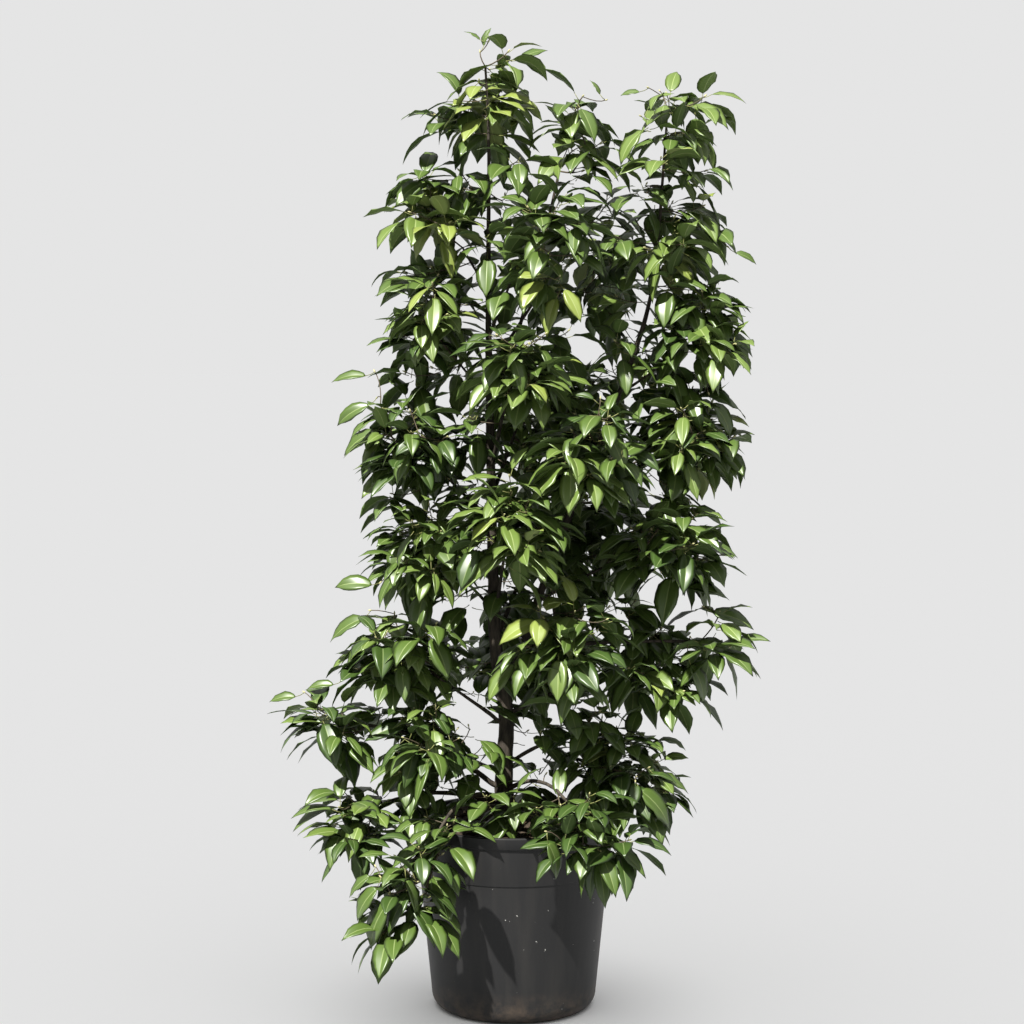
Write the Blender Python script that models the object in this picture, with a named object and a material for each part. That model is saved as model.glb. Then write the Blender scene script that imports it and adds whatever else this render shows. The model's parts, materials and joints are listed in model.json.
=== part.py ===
"""Potted camphor tree: a tall young tree with two leaders, in a round nursery pot of compost.

Metres, +Z up. The origin is the centre of the pot's flat underside. The side with the two
low clusters that hang over the pot faces -Y, and the second leader stands towards +X.
"""

import math
from typing import NamedTuple

import bmesh
import bpy
from mathutils import Euler, Vector, noise

# Pot: a thin tapered wall with a rounded foot, a slightly proud upper band and a lip.
POT_HEIGHT = 0.425
POT_SEGMENTS = 36
POT_WALL = 0.0035
POT_FLOOR = 0.004
WALL_RADIUS_AT_FOOT = 0.1815
WALL_TAPER = 0.0985
FOOT_RADIUS = 0.161
FOOT_CURVE_HEIGHT = 0.034
BAND_FOOT = 0.315
BAND_PROUD = 0.002
LIP_DEPTH = 0.026
LIP_PROUD = 0.0045
LIP_EASE = 0.002

# Drain slots in the foot's curve.
SLOT_COUNT = 5
SLOT_WIDTH = 0.040
SLOT_HEIGHT = 0.022
SLOT_INNER_RADIUS = 0.148
SLOT_OUTER_RADIUS = 0.210
FIRST_SLOT_DEG = -110.0

# Compost: fills the pot to a little under the rim, and is flat where the trunk stands.
CLEARANCE = 0.0003
COMPOST_TOP = 0.410
COMPOST_EDGE_DROP = 0.004
COMPOST_LUMP = 0.0025
COMPOST_LUMPS_PER_M = 18.0
COMPOST_RING_SHARES = (0.80, 0.58)
TRUNK_SEAT_RADIUS = 0.060

# Trunk: runs whole from its flat cut on the compost to the left tip of the crown.
TRUNK_SIDES = 12
TRUNK_RINGS = 24
TRUNK_FOOT = COMPOST_TOP + CLEARANCE
TRUNK_FOOT_RADIUS = 0.0195
TRUNK_TIP_RADIUS = 0.0024
TRUNK_TAPER_POWER = 1.25
FLARE = 0.011
FLARE_HEIGHT = 0.045
ROOT_RIDGES = 5
ROOT_RIDGE_DEPTH = 0.12
ROUTE_STEPS = 12
TRUNK_BENDS = (
    (-0.016, 0.000, TRUNK_FOOT),
    (-0.024, 0.000, 0.500),
    (-0.016, 0.002, 0.620),
    (-0.018, 0.000, 0.690),
    (-0.040, -0.002, 0.800),
    (-0.050, 0.006, 1.150),
    (-0.056, 0.000, 1.550),
    (-0.055, 0.000, 1.930),
    (-0.064, 0.000, 2.110),
)

# Right stem: the second leader, which forks from the trunk low down and leans to the right.
STEM_SIDES = 10
STEM_RINGS = 18
STEM_FOOT_RADIUS = 0.0100
STEM_TIP_RADIUS = 0.0022
STEM_BENDS = (
    (-0.018, 0.000, 0.690),
    (0.014, 0.012, 0.790),
    (0.103, 0.030, 1.046),
    (0.213, 0.025, 1.314),
    (0.296, 0.010, 1.556),
    (0.318, 0.000, 1.731),
    (0.328, -0.010, 1.883),
    (0.336, -0.015, 2.010),
)

# Boughs: one tapering limb for each mass that no leader tops.
BOUGH_SIDES = 7
BOUGH_RINGS = 6
BOUGH_TIP_SHARE = 0.5
BOUGH_ENTRY = 0.028
BOUGH_MIN_RADIUS = 0.0035
BOUGH_RADIUS_PER_REACH = 0.010
BOUGH_SHARE_OF_HOST = 0.62
BOUGH_ROUTE_STEPS = 24

# Foliage: each mass is an uneven egg about its centre, kept apart from its neighbours.
MASS_SIDES = 11
MASS_BELTS = 5
MASS_UNEVEN = 0.40
MASS_LUMP_SIZE = 0.58
MASS_LUMP_SPREAD = 7.0
MASS_TOP_TAPER = 0.28
MASS_GAP = 0.008
NEIGHBOUR_REACH = 0.75
STEM_CLEAR = 0.003
POT_CLEAR = 0.006
STEM_LOOK_SHARE = 1.15
THROUGH_SHARE = 0.35
CUTTER_SWELL = 0.0004


class Mass(NamedTuple):
    """One mass of foliage: where it is, its half sizes, its lean, and the limb that feeds its bough."""

    name: str
    x: float
    y: float
    z: float
    half_x: float
    half_y: float
    half_z: float
    lean_deg: float
    host: str
    fork_height: float
    arch: float


# The host is the limb that the bough forks from, at fork_height; arch is how far the bough bows up.
MASSES = (
    Mass("left_tip", -0.060, 0.00, 2.020, 0.120, 0.130, 0.172, 0.0, "", 0.000, 0.00),
    Mass("middle_tip", 0.120, 0.03, 1.955, 0.095, 0.120, 0.110, 0.0, "trunk", 1.330, -0.05),
    Mass("right_tip", 0.350, -0.02, 1.960, 0.135, 0.140, 0.110, 0.0, "", 0.000, 0.00),
    Mass("left_upper", -0.150, 0.00, 1.780, 0.118, 0.170, 0.120, 0.0, "trunk", 1.600, -0.01),
    Mass("front_upper", 0.075, -0.14, 1.720, 0.130, 0.130, 0.150, 0.0, "trunk", 1.500, 0.02),
    Mass("right_upper", 0.345, 0.00, 1.735, 0.130, 0.180, 0.130, 0.0, "", 0.000, 0.00),
    Mass("back_upper", 0.175, 0.22, 1.665, 0.185, 0.150, 0.220, 0.0, "trunk", 1.420, 0.03),
    Mass("left_shoulder", -0.175, -0.02, 1.540, 0.112, 0.200, 0.135, 0.0, "trunk", 1.360, -0.01),
    Mass("front_shoulder", 0.015, -0.20, 1.445, 0.125, 0.140, 0.130, 0.0, "trunk", 1.200, 0.02),
    Mass("right_shoulder", 0.410, -0.02, 1.525, 0.110, 0.200, 0.125, 0.0, "right_stem", 1.370, -0.01),
    Mass("back_waist", 0.070, 0.24, 1.340, 0.215, 0.170, 0.180, 0.0, "trunk", 1.140, 0.03),
    Mass("left_waist", -0.220, 0.00, 1.285, 0.140, 0.210, 0.140, 0.0, "trunk", 1.090, -0.01),
    Mass("front_waist", 0.165, -0.20, 1.255, 0.140, 0.150, 0.140, 0.0, "right_stem", 1.100, 0.02),
    Mass("right_waist", 0.375, 0.00, 1.295, 0.140, 0.210, 0.140, 0.0, "right_stem", 1.170, -0.01),
    Mass("left_belly", -0.185, -0.03, 1.040, 0.155, 0.210, 0.130, 0.0, "trunk", 0.890, 0.00),
    Mass("front_belly", 0.000, -0.22, 1.110, 0.130, 0.140, 0.145, 0.0, "trunk", 0.860, 0.02),
    Mass("right_belly", 0.330, -0.02, 1.055, 0.148, 0.220, 0.140, 0.0, "right_stem", 0.910, 0.00),
    Mass("back_belly", 0.120, 0.26, 1.035, 0.230, 0.170, 0.175, 0.0, "trunk", 0.820, 0.04),
    Mass("left_hip", -0.245, -0.04, 0.800, 0.160, 0.190, 0.130, 0.0, "trunk", 0.630, 0.00),
    Mass("front_hip", 0.110, -0.20, 0.875, 0.140, 0.140, 0.135, 0.0, "trunk", 0.720, 0.02),
    Mass("right_hip", 0.300, 0.04, 0.760, 0.140, 0.200, 0.150, 0.0, "trunk", 0.655, 0.01),
    Mass("right_spray", 0.450, -0.06, 0.825, 0.090, 0.080, 0.085, 0.0, "right_stem", 0.800, 0.01),
    Mass("back_low", 0.015, 0.25, 0.790, 0.215, 0.160, 0.155, 0.0, "trunk", 0.580, 0.04),
    Mass("left_arm", -0.400, -0.06, 0.640, 0.170, 0.100, 0.075, 25.0, "trunk", 0.480, 0.04),
    Mass("left_low", -0.195, -0.10, 0.620, 0.125, 0.170, 0.125, 0.0, "trunk", 0.520, 0.00),
    Mass("right_low", 0.240, 0.00, 0.550, 0.155, 0.180, 0.145, 0.0, "trunk", 0.540, 0.04),
    Mass("left_foot", -0.360, -0.10, 0.435, 0.100, 0.120, 0.100, 0.0, "trunk", 0.450, 0.04),
    Mass("pot_left", -0.200, -0.27, 0.365, 0.115, 0.110, 0.185, 32.0, "trunk", 0.465, 0.06),
    Mass("pot_right", 0.150, -0.26, 0.455, 0.125, 0.110, 0.115, 0.0, "trunk", 0.480, 0.05),
)


class Limb(NamedTuple):
    """A limb as the points along its axis and its radius at each of them."""

    name: str
    points: list
    radii: list
    sides: int
    ridge: float


class Face(NamedTuple):
    """A plane that a mass stays behind: its outward direction, and its distance from the mass's centre."""

    normal: Vector
    distance: float


def clear_scene():
    """Removes every object, so the file can be run again from the text editor."""
    for old in list(bpy.data.objects):
        bpy.data.objects.remove(old, do_unlink=True)


def plain_material(name, colour, roughness):
    """Gives a Principled material of one colour."""
    material = bpy.data.materials.new(name)
    material.use_nodes = True
    shader = material.node_tree.nodes["Principled BSDF"]
    shader.inputs["Base Color"].default_value = (*colour, 1.0)
    shader.inputs["Roughness"].default_value = roughness
    shader.inputs["Metallic"].default_value = 0.0
    return material


def add_object(name, vertices, faces, material, smooth_angle=None):
    """Makes a named mesh object with its faces turned outwards."""
    mesh = bpy.data.meshes.new(name)
    mesh.from_pydata([tuple(v) for v in vertices], [], faces)
    made = bmesh.new()
    made.from_mesh(mesh)
    bmesh.ops.recalc_face_normals(made, faces=made.faces)
    made.to_mesh(mesh)
    made.free()
    if smooth_angle is not None:
        mesh.shade_smooth()
        mesh.set_sharp_from_angle(angle=smooth_angle)
    if material is not None:
        mesh.materials.append(material)
    obj = bpy.data.objects.new(name, mesh)
    bpy.context.scene.collection.objects.link(obj)
    return obj


def as_cutter(obj):
    """Keeps an object as a helper only."""
    obj.hide_render = True
    obj.display_type = "WIRE"
    return obj


def cut(obj, cutter):
    """Takes a cutter's shape out of an object."""
    modifier = obj.modifiers.new("cut_" + cutter.name, "BOOLEAN")
    modifier.operation = "DIFFERENCE"
    modifier.solver = "EXACT"
    modifier.object = cutter


def revolved(name, profile, material, lift=None):
    """Turns a profile of (radius, height) points, from axis to axis, about Z."""
    vertices = [Vector((0.0, 0.0, profile[0][1]))]
    for radius, height in profile[1:-1]:
        for k in range(POT_SEGMENTS):
            angle = 2.0 * math.pi * k / POT_SEGMENTS
            point = Vector((radius * math.cos(angle), radius * math.sin(angle), height))
            if lift is not None:
                point.z += lift(point)
            vertices.append(point)
    vertices.append(Vector((0.0, 0.0, profile[-1][1])))
    rings = len(profile) - 2
    last = len(vertices) - 1
    faces = []
    for k in range(POT_SEGMENTS):
        after = (k + 1) % POT_SEGMENTS
        faces.append((0, 1 + after, 1 + k))
        faces.append((last, last - POT_SEGMENTS + k, last - POT_SEGMENTS + after))
        for ring in range(rings - 1):
            low = 1 + ring * POT_SEGMENTS
            high = low + POT_SEGMENTS
            faces.append((low + k, low + after, high + after, high + k))
    return add_object(name, vertices, faces, material, smooth_angle=math.radians(35))


def wall_radius(height):
    """The pot's outer radius on its plain wall."""
    return WALL_RADIUS_AT_FOOT + WALL_TAPER * height


def foot_curve(inset, steps=4):
    """The rounded foot as (radius, height) points, moved inwards and up by inset."""
    span_r = wall_radius(FOOT_CURVE_HEIGHT) - FOOT_RADIUS
    points = []
    for k in range(steps + 1):
        angle = 0.5 * math.pi * k / steps
        radius = FOOT_RADIUS + span_r * math.sin(angle) - inset
        height = inset + (FOOT_CURVE_HEIGHT - inset) * (1.0 - math.cos(angle))
        points.append((radius, height))
    return points


def pot_profile():
    """The pot's section from the middle of its underside, up the outside, and down the inside."""
    lip_foot = POT_HEIGHT - LIP_DEPTH
    lip_radius = wall_radius(POT_HEIGHT) + BAND_PROUD + LIP_PROUD
    outside = [(0.0, 0.0)] + foot_curve(0.0)
    outside += [
        (wall_radius(BAND_FOOT), BAND_FOOT),
        (wall_radius(BAND_FOOT) + BAND_PROUD, BAND_FOOT + BAND_PROUD),
        (wall_radius(lip_foot) + BAND_PROUD, lip_foot),
        (wall_radius(lip_foot) + BAND_PROUD + LIP_PROUD, lip_foot + LIP_EASE),
        (lip_radius, POT_HEIGHT - LIP_EASE),
        (lip_radius - LIP_EASE, POT_HEIGHT),
    ]
    inside = [(wall_radius(POT_HEIGHT) - POT_WALL, POT_HEIGHT)]
    inside += reversed(foot_curve(POT_WALL)[1:])
    inside += [(FOOT_RADIUS - POT_WALL, POT_FLOOR), (0.0, POT_FLOOR)]
    return outside + inside


def make_pot(material):
    """The pot, with drain slots through its foot."""
    pot = revolved("pot", pot_profile(), material)
    for k in range(SLOT_COUNT):
        angle = math.radians(FIRST_SLOT_DEG + 360.0 * k / SLOT_COUNT)
        along = Vector((math.cos(angle), math.sin(angle), 0.0))
        across = Vector((-along.y, along.x, 0.0)) * (0.5 * SLOT_WIDTH)
        corners = []
        for height in (POT_FLOOR * 0.5, SLOT_HEIGHT):
            for radius in (SLOT_INNER_RADIUS, SLOT_OUTER_RADIUS):
                for side in (-1.0, 1.0):
                    corners.append(along * radius + across * side + Vector((0.0, 0.0, height)))
        faces = [(0, 1, 3, 2), (4, 5, 7, 6), (0, 1, 5, 4), (2, 3, 7, 6), (0, 2, 6, 4), (1, 3, 7, 5)]
        cut(pot, as_cutter(add_object(f"slot_cutter_{k + 1}", corners, faces, None)))
    return pot


def compost_lift(point):
    """How far the compost's surface rises or sinks at a point, level where the trunk stands."""
    if point.z < COMPOST_TOP - 2.0 * COMPOST_EDGE_DROP:
        return 0.0
    share = max(0.0, math.hypot(point.x, point.y) - TRUNK_SEAT_RADIUS) / FOOT_RADIUS
    return COMPOST_LUMP * share * noise.noise(point * COMPOST_LUMPS_PER_M)


def make_compost(material):
    """The plug of compost, a hair clear of the pot's inside."""
    floor = POT_FLOOR + CLEARANCE
    profile = [(0.0, floor), (FOOT_RADIUS - POT_WALL - CLEARANCE, floor)]
    profile += [(r - CLEARANCE, z + CLEARANCE) for r, z in foot_curve(POT_WALL)[1:]]
    edge_height = COMPOST_TOP - COMPOST_EDGE_DROP
    edge = wall_radius(edge_height) - POT_WALL
    profile.append((edge - CLEARANCE, edge_height))
    for share in COMPOST_RING_SHARES:
        drop = COMPOST_EDGE_DROP * share * share
        profile.append((edge * share, COMPOST_TOP - drop))
    profile += [(TRUNK_SEAT_RADIUS, COMPOST_TOP), (0.0, COMPOST_TOP)]
    return revolved("compost", profile, material, lift=compost_lift)


def smooth_route(bends, count):
    """Count points on a smooth curve through the bends, about evenly spaced."""
    knots = [Vector(b) for b in bends]
    knots = [knots[0] * 2.0 - knots[1]] + knots + [knots[-1] * 2.0 - knots[-2]]
    fine = []
    for i in range(1, len(knots) - 2):
        a, b, c, d = knots[i - 1 : i + 3]
        for step in range(ROUTE_STEPS):
            t = step / ROUTE_STEPS
            bow = (2 * a - 5 * b + 4 * c - d) * t**2
            twist = (3 * b - a - 3 * c + d) * t**3
            fine.append(0.5 * (2 * b + (c - a) * t + bow + twist))
    fine.append(knots[-2])
    return evenly_spaced(fine, count)


def evenly_spaced(route, count):
    """Count points along a route, the same distance apart."""
    lengths = [0.0]
    for before, after in zip(route, route[1:]):
        lengths.append(lengths[-1] + (after - before).length)
    points = []
    piece = 0
    for k in range(count):
        target = lengths[-1] * k / (count - 1)
        while piece < len(route) - 2 and lengths[piece + 1] < target:
            piece += 1
        share = (target - lengths[piece]) / (lengths[piece + 1] - lengths[piece])
        points.append(route[piece].lerp(route[piece + 1], share))
    return points


def limb_rings(limb, swell):
    """The rings of points round a limb, square to its axis, and level at a foot with root ridges."""
    rings = []
    side = Vector((1.0, 0.0, 0.0))
    last = len(limb.points) - 1
    for k, point in enumerate(limb.points):
        along = (limb.points[min(k + 1, last)] - limb.points[max(k - 1, 0)]).normalized()
        if k == 0 and limb.ridge:
            along = Vector((0.0, 0.0, 1.0))
        side = (side - along * side.dot(along)).normalized()
        other = along.cross(side)
        height = point.z - limb.points[0].z
        ridge = limb.ridge * math.exp(-height / FLARE_HEIGHT)
        ring = []
        for s in range(limb.sides):
            angle = 2.0 * math.pi * s / limb.sides
            radius = limb.radii[k] * (1.0 + ridge * math.cos(ROOT_RIDGES * angle)) + swell
            ring.append(point + (side * math.cos(angle) + other * math.sin(angle)) * radius)
        rings.append(ring)
    return rings


def add_limb(limb, material, swell=0.0, suffix=""):
    """Makes a limb's mesh: tapering rings with flat ends. A swollen copy is longer by its swell too."""
    rings = limb_rings(limb, swell)
    if swell:
        for ring, end, inner in ((rings[0], 0, 1), (rings[-1], -1, -2)):
            push = (limb.points[end] - limb.points[inner]).normalized() * swell
            for corner in ring:
                corner += push
    vertices = [corner for ring in rings for corner in ring]
    n = limb.sides
    faces = [tuple(range(n)), tuple(range(len(vertices) - n, len(vertices)))]
    for k in range(len(rings) - 1):
        for s in range(n):
            after = (s + 1) % n
            faces.append((k * n + s, k * n + after, (k + 1) * n + after, (k + 1) * n + s))
    return add_object(limb.name + suffix, vertices, faces, material, smooth_angle=math.radians(50))


def trunk_limb():
    """The trunk, with its taper, its lean, its crook near the fork and its root flare."""
    points = smooth_route(TRUNK_BENDS, TRUNK_RINGS)
    rise = TRUNK_BENDS[-1][2] - TRUNK_FOOT
    radii = []
    for point in points:
        height = point.z - TRUNK_FOOT
        taper = (1.0 - height / rise) ** TRUNK_TAPER_POWER
        flare = FLARE * math.exp(-height / FLARE_HEIGHT)
        radii.append(TRUNK_TIP_RADIUS + (TRUNK_FOOT_RADIUS - TRUNK_TIP_RADIUS) * taper + flare)
    return Limb("trunk", points, radii, TRUNK_SIDES, ROOT_RIDGE_DEPTH)


def stem_limb():
    """The second leader."""
    points = smooth_route(STEM_BENDS, STEM_RINGS)
    radii = []
    for k in range(STEM_RINGS):
        share = k / (STEM_RINGS - 1)
        radii.append(STEM_FOOT_RADIUS + (STEM_TIP_RADIUS - STEM_FOOT_RADIUS) * share)
    return Limb("right_stem", points, radii, STEM_SIDES, 0.0)


def axis_at(limb, height):
    """The point on a limb's axis at a height, and the limb's radius there."""
    for k in range(len(limb.points) - 1):
        low, high = limb.points[k], limb.points[k + 1]
        if low.z <= height <= high.z:
            share = (height - low.z) / (high.z - low.z)
            return low.lerp(high, share), limb.radii[k] + (limb.radii[k + 1] - limb.radii[k]) * share
    return limb.points[-1], limb.radii[-1]


def egg_reach(mass, direction):
    """How far a mass reaches from its centre in a direction, before it is kept off anything."""
    turned = direction.copy()
    turned.rotate(Euler((0.0, math.radians(-mass.lean_deg), 0.0)))
    girth = 1.0 - MASS_TOP_TAPER * turned.z
    sides = (turned.x / mass.half_x) ** 2 + (turned.y / mass.half_y) ** 2
    squared = sides / girth**2 + (turned.z / mass.half_z) ** 2
    centre = Vector((mass.x, mass.y, mass.z))
    lump = noise.noise((direction + centre * MASS_LUMP_SPREAD) / MASS_LUMP_SIZE)
    return (1.0 + MASS_UNEVEN * lump) / math.sqrt(squared)


def neighbour_faces(mass):
    """Planes halfway, by size, between a mass and each mass near it."""
    centre = Vector((mass.x, mass.y, mass.z))
    faces = []
    for other in MASSES:
        between = Vector((other.x, other.y, other.z)) - centre
        if other is mass or between.length > NEIGHBOUR_REACH:
            continue
        normal = between.normalized()
        mine = egg_reach(mass, normal)
        theirs = egg_reach(other, -normal)
        faces.append(Face(normal, between.length * mine / (mine + theirs) - 0.5 * MASS_GAP))
    return faces


def pot_face(mass):
    """The plane that keeps a mass off the pot, through the pot's nearest point."""
    centre = Vector((mass.x, mass.y, mass.z))
    rim = wall_radius(POT_HEIGHT) + BAND_PROUD + LIP_PROUD
    out = math.hypot(mass.x, mass.y)
    share = min(rim, out) / out
    nearest = Vector((mass.x * share, mass.y * share, min(mass.z, POT_HEIGHT)))
    away = nearest - centre
    return Face(away.normalized(), away.length - POT_CLEAR)


def stem_faces(mass, stems):
    """Planes that keep a mass off a stem that passes its edge. A stem near its middle is cut out instead."""
    centre = Vector((mass.x, mass.y, mass.z))
    faces = []
    for stem in stems:
        inside = []
        for point, radius in zip(stem.points, stem.radii):
            away = point - centre
            if away.length < STEM_LOOK_SHARE * egg_reach(mass, away.normalized()) + radius:
                inside.append((away, radius))
        if not inside:
            continue
        nearest = min(inside, key=lambda pair: pair[0].length)[0]
        normal = nearest.normalized()
        distance = min(away.dot(normal) - radius for away, radius in inside) - STEM_CLEAR
        if distance > THROUGH_SHARE * egg_reach(mass, normal):
            faces.append(Face(normal, distance))
    return faces


def kept_reach(mass, faces, direction):
    """How far a mass reaches in a direction once its planes hold it back."""
    reach = egg_reach(mass, direction)
    for face in faces:
        facing = face.normal.dot(direction)
        if facing > 1e-6:
            reach = min(reach, face.distance / facing)
    return reach


def add_mass(mass, faces_behind, material):
    """Makes one mass of foliage as a closed uneven egg."""
    centre = Vector((mass.x, mass.y, mass.z))
    directions = [Vector((0.0, 0.0, -1.0))]
    for belt in range(MASS_BELTS):
        tilt = math.pi * (belt + 1) / (MASS_BELTS + 1)
        for k in range(MASS_SIDES):
            angle = 2.0 * math.pi * (k + 0.5 * (belt % 2)) / MASS_SIDES
            level = math.sin(tilt)
            directions.append(Vector((level * math.cos(angle), level * math.sin(angle), -math.cos(tilt))))
    directions.append(Vector((0.0, 0.0, 1.0)))
    vertices = [centre + d * kept_reach(mass, faces_behind, d) for d in directions]
    last = len(vertices) - 1
    faces = []
    for k in range(MASS_SIDES):
        after = (k + 1) % MASS_SIDES
        faces.append((0, 1 + after, 1 + k))
        faces.append((last, last - MASS_SIDES + k, last - MASS_SIDES + after))
        for belt in range(MASS_BELTS - 1):
            low = 1 + belt * MASS_SIDES
            high = low + MASS_SIDES
            if belt % 2:
                faces.append((low + k, low + after, high + after))
                faces.append((low + k, high + after, high + k))
            else:
                faces.append((low + k, low + after, high + k))
                faces.append((low + after, high + after, high + k))
    return add_object("foliage_" + mass.name, vertices, faces, material, smooth_angle=math.radians(60))


def bough_limb(mass, faces_behind, hosts):
    """The bough of a mass: it leaves its host's axis, bows, and ends a little way inside the mass."""
    host = hosts[mass.host]
    start, host_radius = axis_at(host, mass.fork_height)
    centre = Vector((mass.x, mass.y, mass.z))
    control = start.lerp(centre, 0.5) + Vector((0.0, 0.0, 2.0 * mass.arch))
    back = (control - centre).normalized()
    surface = kept_reach(mass, faces_behind, back)
    end = centre + back * max(0.0, surface - BOUGH_ENTRY)
    route = []
    for k in range(BOUGH_ROUTE_STEPS + 1):
        t = k / BOUGH_ROUTE_STEPS
        route.append(start * (1 - t) ** 2 + control * (2 * t * (1 - t)) + end * t**2)
    points = evenly_spaced(route, BOUGH_RINGS)
    foot_radius = BOUGH_MIN_RADIUS + BOUGH_RADIUS_PER_REACH * (end - start).length
    foot_radius = min(foot_radius, BOUGH_SHARE_OF_HOST * host_radius)
    radii = []
    for k in range(BOUGH_RINGS):
        share = k / (BOUGH_RINGS - 1)
        radii.append(foot_radius * (1.0 + (BOUGH_TIP_SHARE - 1.0) * share))
    return Limb("bough_" + mass.name, points, radii, BOUGH_SIDES, 0.0)


def boxes_meet(first, second, margin=0.002):
    """Whether two objects' boxes come within a margin of each other."""
    corners_a = [Vector(c) for c in first.bound_box]
    corners_b = [Vector(c) for c in second.bound_box]
    for axis in range(3):
        low_a, high_a = min(c[axis] for c in corners_a), max(c[axis] for c in corners_a)
        low_b, high_b = min(c[axis] for c in corners_b), max(c[axis] for c in corners_b)
        if low_a > high_b + margin or low_b > high_a + margin:
            return False
    return True


def make_tree(bark, leaf):
    """The trunk, the second leader, the boughs, and the masses of foliage cut round them."""
    hosts = {"trunk": trunk_limb(), "right_stem": stem_limb()}
    cutters = {}
    for name, limb in hosts.items():
        cutters[name] = as_cutter(add_limb(limb, None, CUTTER_SWELL, "_cutter"))
    add_limb(hosts["trunk"], bark)
    cut(add_limb(hosts["right_stem"], bark), cutters["trunk"])
    foliage = {}
    bough_cutters = []
    for mass in MASSES:
        faces = neighbour_faces(mass) + stem_faces(mass, hosts.values()) + [pot_face(mass)]
        foliage[mass.name] = add_mass(mass, faces, leaf)
        if mass.host:
            limb = bough_limb(mass, faces, hosts)
            cut(add_limb(limb, bark), cutters[mass.host])
            bough_cutters.append(as_cutter(add_limb(limb, None, CUTTER_SWELL, "_cutter")))
    for lump in foliage.values():
        for cutter in [*cutters.values(), *bough_cutters]:
            if boxes_meet(lump, cutter):
                cut(lump, cutter)


def main():
    """Builds the pot, the compost and the tree."""
    clear_scene()
    make_pot(plain_material("pot_plastic", (0.045, 0.045, 0.047), 0.45))
    make_compost(plain_material("compost_crumb", (0.060, 0.045, 0.033), 0.95))
    make_tree(
        plain_material("camphor_bark", (0.105, 0.085, 0.065), 0.85),
        plain_material("camphor_leaf", (0.070, 0.150, 0.035), 0.45),
    )


main()
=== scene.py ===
"""Looks of the potted camphor tree: bark, twigs, leaves, pot, compost, light and camera."""

import json
import logging
import math
from collections.abc import Callable
from dataclasses import dataclass, field
from enum import Enum

import bpy
import numpy as np
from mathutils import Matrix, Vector, noise
from mathutils.bvhtree import BVHTree

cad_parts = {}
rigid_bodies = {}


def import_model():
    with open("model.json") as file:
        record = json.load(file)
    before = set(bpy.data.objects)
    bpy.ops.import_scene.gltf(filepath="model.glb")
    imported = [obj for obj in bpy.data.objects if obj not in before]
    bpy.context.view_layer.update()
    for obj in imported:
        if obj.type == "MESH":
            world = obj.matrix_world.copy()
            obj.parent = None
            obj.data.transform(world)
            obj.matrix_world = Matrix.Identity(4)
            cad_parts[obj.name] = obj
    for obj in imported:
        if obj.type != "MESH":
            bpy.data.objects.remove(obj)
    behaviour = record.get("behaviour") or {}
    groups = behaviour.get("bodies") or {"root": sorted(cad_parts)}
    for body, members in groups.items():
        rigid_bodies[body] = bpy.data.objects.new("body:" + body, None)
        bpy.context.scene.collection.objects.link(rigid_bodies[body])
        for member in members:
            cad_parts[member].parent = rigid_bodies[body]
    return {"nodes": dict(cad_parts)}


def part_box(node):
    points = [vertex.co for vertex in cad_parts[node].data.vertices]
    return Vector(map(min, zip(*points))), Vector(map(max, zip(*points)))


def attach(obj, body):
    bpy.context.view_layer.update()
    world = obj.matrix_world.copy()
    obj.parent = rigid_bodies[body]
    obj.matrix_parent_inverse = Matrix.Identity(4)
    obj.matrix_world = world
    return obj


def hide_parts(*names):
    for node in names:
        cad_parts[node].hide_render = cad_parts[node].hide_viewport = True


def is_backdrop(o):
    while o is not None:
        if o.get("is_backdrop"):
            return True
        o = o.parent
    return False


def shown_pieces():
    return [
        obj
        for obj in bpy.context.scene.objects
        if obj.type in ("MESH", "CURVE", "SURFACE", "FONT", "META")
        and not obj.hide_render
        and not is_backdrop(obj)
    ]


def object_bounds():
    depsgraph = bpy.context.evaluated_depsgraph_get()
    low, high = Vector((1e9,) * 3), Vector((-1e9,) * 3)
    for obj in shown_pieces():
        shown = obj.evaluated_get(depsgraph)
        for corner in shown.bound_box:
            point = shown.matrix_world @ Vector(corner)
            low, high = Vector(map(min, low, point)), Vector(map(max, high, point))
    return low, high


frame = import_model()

LOG = logging.getLogger("camphor_tree")
CAD_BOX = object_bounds()
UP = np.array((0.0, 0.0, 1.0))
GOLDEN_TURN = math.radians(137.508)
EYE = (-0.00405, -5.0, 1.5345)
Relief = Callable[[int, np.ndarray, np.ndarray, np.ndarray], np.ndarray]


class Tone(Enum):
    """The greens that sprays of leaves are dealt; the deep and bright ones stand partly for painted shade
    and painted light.
    """

    DEEP = "deep"
    MIDDLE = "middle"
    BRIGHT = "bright"
    YOUNG = "young"


@dataclass(frozen=True)
class LeafFinish:
    """Colours and gloss of one tone of leaf."""

    upper: tuple[float, float, float]
    under: tuple[float, float, float]
    rib: tuple[float, float, float]
    gloss: float = 0.40

    def materials(self, name: str) -> list[bpy.types.Material]:
        """Materials for the upper face, the underside and the midrib."""
        return [
            plain_material(name + "_upper", self.upper, self.gloss, 0.75),
            plain_material(name + "_under", self.under, 0.62, 0.30),
            plain_material(name + "_rib", self.rib, 0.45, 0.40),
        ]


# Deep, middle and bright are darker and paler leaf greens, dealt partly as painted shade and painted light;
# the young green is the new growth's own colour.
LEAF_FINISHES = {
    Tone.DEEP: LeafFinish((0.035, 0.068, 0.011), (0.052, 0.088, 0.022), (0.116, 0.160, 0.056)),
    Tone.MIDDLE: LeafFinish((0.063, 0.107, 0.018), (0.076, 0.121, 0.032), (0.162, 0.212, 0.076)),
    Tone.BRIGHT: LeafFinish((0.104, 0.158, 0.031), (0.110, 0.166, 0.043), (0.210, 0.265, 0.096)),
    Tone.YOUNG: LeafFinish((0.182, 0.232, 0.046), (0.190, 0.238, 0.080), (0.255, 0.300, 0.110)),
}


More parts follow.
